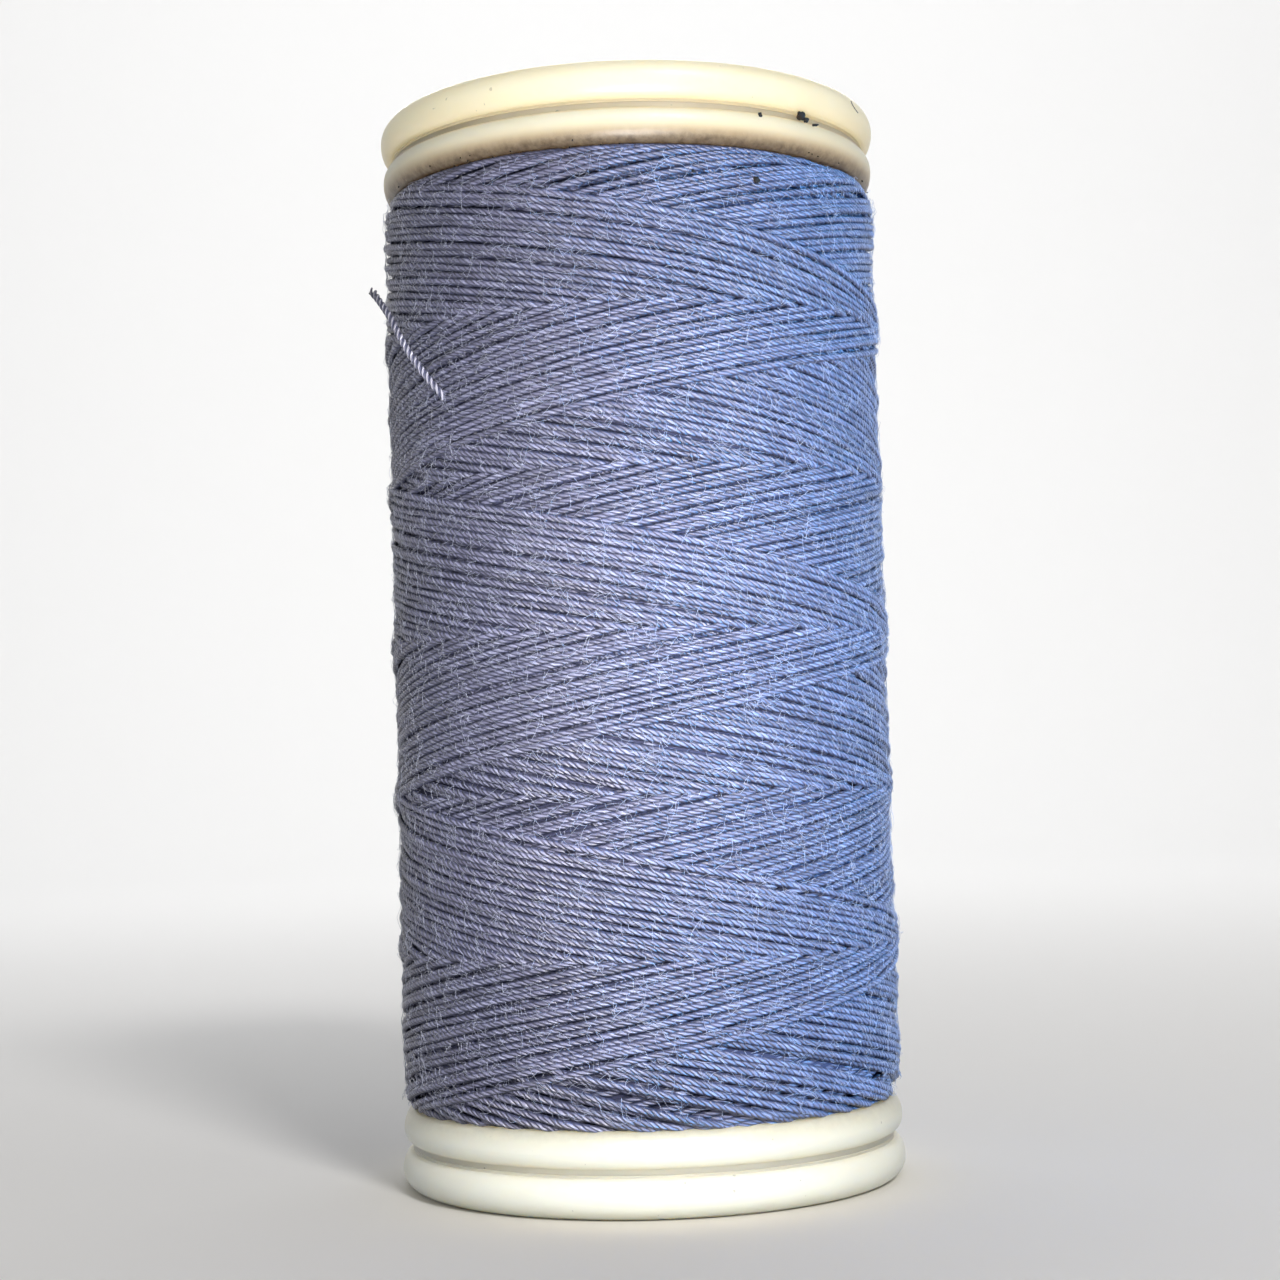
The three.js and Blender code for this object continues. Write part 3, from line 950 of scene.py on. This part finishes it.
def make_fuzz(surface, material, name, count, shortest, longest, lifting, across):
    """Loose fibres on the package, for t from 0 to 1 along each: it runs over the surface,
    bows out by lift sin(pi (0.1 + 0.9 t)) and curls sideways by curl size sin(pi t). lifting
    sets how far they bow out, and across how far their headings spread from the thread's own,
    in radians."""
    t = np.linspace(0, 1, fibre_rings)[None, :]
    turn = rng.uniform(0, 1, count)
    low = flange_inner_face + fibre_start_gap
    high = height - flange_inner_face - fibre_start_gap
    z = rng.uniform(low, high, count)
    heading = rng.normal(0, across, count)
    size = rng.uniform(shortest, longest, count)
    lift = rng.gamma(2.0, lifting, count)
    curl = rng.normal(0, fibre_curl, count)
    bow = np.sin(np.pi * (0.1 + 0.9 * t)) * lift[:, None]
    forward = size[:, None] * t
    sideways = curl[:, None] * np.sin(np.pi * t) * size[:, None]
    c, s = np.cos(heading)[:, None], np.sin(heading)[:, None]
    angle = TURN * turn[:, None] + (forward * c - sideways * s) / package_radius
    rise = z[:, None] + forward * s + sideways * c
    rise = np.clip(rise, flange_inner_face + fibre_gap, height - flange_inner_face - fibre_gap)
    column = (angle / TURN * turn_columns).astype(int) % turn_columns
    row = ((rise - flange_inner_face) / row_height + spare_rows).astype(int)
    base = np.maximum(surface[column, row], package_edge(rise) - fibre_depth)
    radius = base.mean(1, keepdims=True) * 0.5 + base * 0.5 + bow
    routes = round_axis(radius, angle, rise)
    thick = fibre_radius * (1 - fibre_taper * t) * np.ones((count, 1))
    shade = rng.uniform(*fibre_shades, count)
    fuzz = many_tubes(name, routes, routes * [1, 1, 0], thick, fibre_sides, shade)
    fuzz.data.materials.append(material)
    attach(fuzz, "spool")


# ---- Tail -----------------------------------------------------------------------------
# The thread's free end, as the pixels of the photograph that it passes, from where it comes
# out of the winding to its cut end, with how far it stands off the package there.
tail_marks = [
    (449, 402, -0.50),
    (443, 396, -0.15),
    (437, 389, 0.14),
    (427, 377, 0.34),
    (412, 357, 0.55),
    (400, 337, 0.75),
    (388, 314, 0.95),
    (372, 291, 1.20),
]
curve_samples = 40  # for each of those marks, before they are spaced evenly
tail_rings = 150
ply_sides = 8
ply_offset = 0.080  # how far each ply's middle lies from the thread's
ply_radius = 0.100
fray_length = 0.9  # the plies part and thin over this length at the cut end
fray_offset = 0.09
fray_thinning = 0.55
fibre_lay = 0.9  # length of one full twist of the fibres in a ply
pale_length = 4.5  # the tail is painted paler, for its highlights, over this length from its cut end
end_shade = 0.42  # its shade at the cut end
pale_gain = 1.10  # and what it gains over that length


def smooth_curve(points, count):
    """A Catmull-Rom curve through points, as count points at even lengths, and those lengths.
    From b to c, with a before and d after them, it is
    (2b + (c - a) u + (2a - 5b + 4c - d) u^2 + (3b - a - 3c + d) u^3) / 2."""
    points = np.asarray(points, float)
    before = 2 * points[0] - points[1]
    after = 2 * points[-1] - points[-2]
    padded = np.concatenate([[before], points, [after]])
    t = np.linspace(0, len(points) - 1, curve_samples * len(points))
    i = np.minimum(t.astype(int), len(points) - 2)
    u = (t - i)[:, None]
    a, b, c, d = padded[i], padded[i + 1], padded[i + 2], padded[i + 3]
    square = 2 * a - 5 * b + 4 * c - d
    cube = 3 * b - a - 3 * c + d
    curve = 0.5 * (2 * b + (c - a) * u + square * u**2 + cube * u**3)
    length = lengths_along(curve)
    even = np.linspace(0, length[-1], count)
    return np.stack([np.interp(even, length, curve[:, k]) for k in range(3)], -1), even


def make_tail():
    """Three plies twisted round the route, centre + offset (cos f out + sin f side), where f
    goes round once in each lay. The plies part and thin towards the cut end, and darken there as
    their painted highlight fades."""
    points = [seen_at(x, y, package_radius + clear) for x, y, clear in tail_marks]
    route, length = smooth_curve(points, tail_rings)
    outward, sideways = square_to(route, route * [1, 1, 0])
    left = length[-1] - length
    fray = np.clip(1 - left / fray_length, 0, 1)
    pale = end_shade + pale_gain * np.clip(left / pale_length, 0, 1)
    off = (ply_offset + fray_offset * fray**2)[:, None]
    thick = ply_radius * (1 - fray_thinning * fray**3)
    fibres = length / fibre_lay
    # The free end takes paler, painted lit copies of the thread's colours.
    material = blue_thread("lit_blue_ply", 4.0, 0.00002, 0.95, lit_tail_blue, lit_tail_glint)
    for k in range(3):
        turn = (TURN * (length / ply_lay + k / 3))[:, None]
        away = np.cos(turn) * outward + np.sin(turn) * sideways
        ply = route + off * away
        piece = tube(f"tail_ply_{k + 1}", ply, away, thick, thick, ply_sides, fibres, pale)
        piece.data.materials.append(material)
        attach(piece, "spool")
        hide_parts("thread_tail")


# ---- Dirt -----------------------------------------------------------------------------
# Each crumb that shows in the photograph: its pixel, the radius that it lies at and its size.
crumb_marks = [
    (801, 116, flange_radius - 0.22, (0.21, 0.19, 0.20)),
    (806, 120, flange_radius - 0.10, (0.13, 0.12, 0.12)),
    (815, 125, flange_radius - 0.02, (0.16, 0.09, 0.06)),
    (760, 115, flange_radius - 0.12, (0.10, 0.10, 0.12)),
    (756, 180, package_radius + 0.02, (0.17, 0.12, 0.15)),
    (693, 171, package_radius + 0.02, (0.08, 0.07, 0.07)),
]
crumb_columns = 10
crumb_levels = 6
crumb_roughness = 0.32
dust_count = 34
dust_gathered = 14  # how many of the specks lie close together, at the front left
dust_bearing = math.radians(250)
dust_spread = 0.35  # in radians
dust_depth = (0.02, 0.5)  # how far in from the flange's edge they lie
dust_rise = (-0.02, 0.35)
dust_edge = 0.3  # only those nearer than this to the flange's edge lie up on its round
dust_sizes = (0.02, 0.05)
lint_marks = ((851, 101), (858, 113))  # the pixels of the curled fibre's ends
lint_radius = 0.022
lint_height = 0.012  # how far its middle lies off the cap's rim
lint_bow = 0.35
lint_rings = 14
lint_sides = 5


def crumbs(name, centres, sizes, rides_on):
    """Small lumps: c + s (1 + crumb_roughness sin(3a + q) sin(2b + 1.7q)) on a sphere of angles
    a and b, with a fan of triangles over each pole. q is each lump's own random angle."""
    around, levels = crumb_columns, crumb_levels
    a = np.arange(around) * TURN / around
    b = (np.arange(levels) + 1) * np.pi / (levels + 1)
    count = len(centres)
    q = rng.uniform(0, TURN, (count, 1, 1))
    waves = np.sin(3 * a[None, None] + q) * np.sin(2 * b[None, :, None] + 1.7 * q)
    lump = 1 + crumb_roughness * waves
    ball = round_axis(np.sin(b)[:, None], a, np.cos(b)[:, None])
    rounds = (ball[None] * lump[..., None]).reshape(count, -1, 3)
    poles = np.broadcast_to(np.array([[0, 0, 1.0], [0, 0, -1.0]]), (count, 2, 3))
    points = np.concatenate([rounds, poles], 1) * sizes[:, None] + centres[:, None]
    walls = ring_walls(levels, around)
    k = np.arange(around)
    k2 = (k + 1) % around
    top = np.stack([np.full_like(k, levels * around), k, k2], -1)
    last = (levels - 1) * around
    low = np.stack([np.full_like(k, levels * around + 1), last + k2, last + k], -1)
    first = (np.arange(count) * (levels * around + 2))[:, None, None]
    triangles = (np.concatenate([top, low])[None] + first).reshape(-1, 3)
    piece = to_mesh(name, points.reshape(-1, 3), (walls[None] + first).reshape(-1, 4), triangles)
    piece.data.materials.append(plain_material(name + "_brown", dirt_brown, 0.9))
    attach(piece, rides_on)


def make_lint():
    """A curled fibre that lies on the top cap's rim: a straight line between its ends, bowed
    sideways by sin(pi t^0.7) for t along it, and then laid on the rim's radius."""
    t = np.linspace(0, 1, lint_rings)
    start, end = (seen_at(x, y, cap_radius + lint_height) for x, y in lint_marks)
    bow = np.cross(end - start, start / np.linalg.norm(start)) * lint_bow
    route = start + (end - start) * t[:, None] + bow * np.sin(np.pi * t**0.7)[:, None]
    depth = np.linalg.norm(route[:, :2], axis=1)
    route[:, :2] *= ((cap_radius + lint_height) / depth)[:, None]
    thick = np.full((1, lint_rings), lint_radius)
    shade = np.array([1.0])
    lint = many_tubes("lint", route[None], route[None] * [1, 1, 0], thick, lint_sides, shade)
    lint.data.materials.append(plain_material("grey_lint", lint_grey, 0.8))
    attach(lint, "top_cap")


def make_dirt():
    """Crumbs in the valley under the top cap and on the thread, and dust along the upper
    flange where the thread meets it."""
    centres = np.array([seen_at(x, y, radius) for x, y, radius, size in crumb_marks])
    sizes = np.array([size for x, y, radius, size in crumb_marks])
    crumbs("crumbs", centres, sizes, "spool")
    angle = rng.uniform(0, TURN, dust_count)
    angle[:dust_gathered] = rng.normal(dust_bearing, dust_spread, dust_gathered)
    radius = flange_radius - rng.uniform(*dust_depth, dust_count)
    up = rng.uniform(*dust_rise, dust_count) * (radius > flange_radius - dust_edge)
    rise = height - flange_inner_face + up
    centres = round_axis(radius, angle, rise)
    crumbs("dust", centres, rng.uniform(*dust_sizes, (dust_count, 3)), "spool")


# ---- Making ---------------------------------------------------------------------------
place_camera()
sweep = set_the_stage()
mouldings = make_mouldings()
light_the_stage(sweep, mouldings)
surface = make_winding()
make_core()
fibre = fibre_material()
for kind in fibre_kinds:
    make_fuzz(surface, fibre, *kind)
make_tail()
make_dirt()
make_lint()
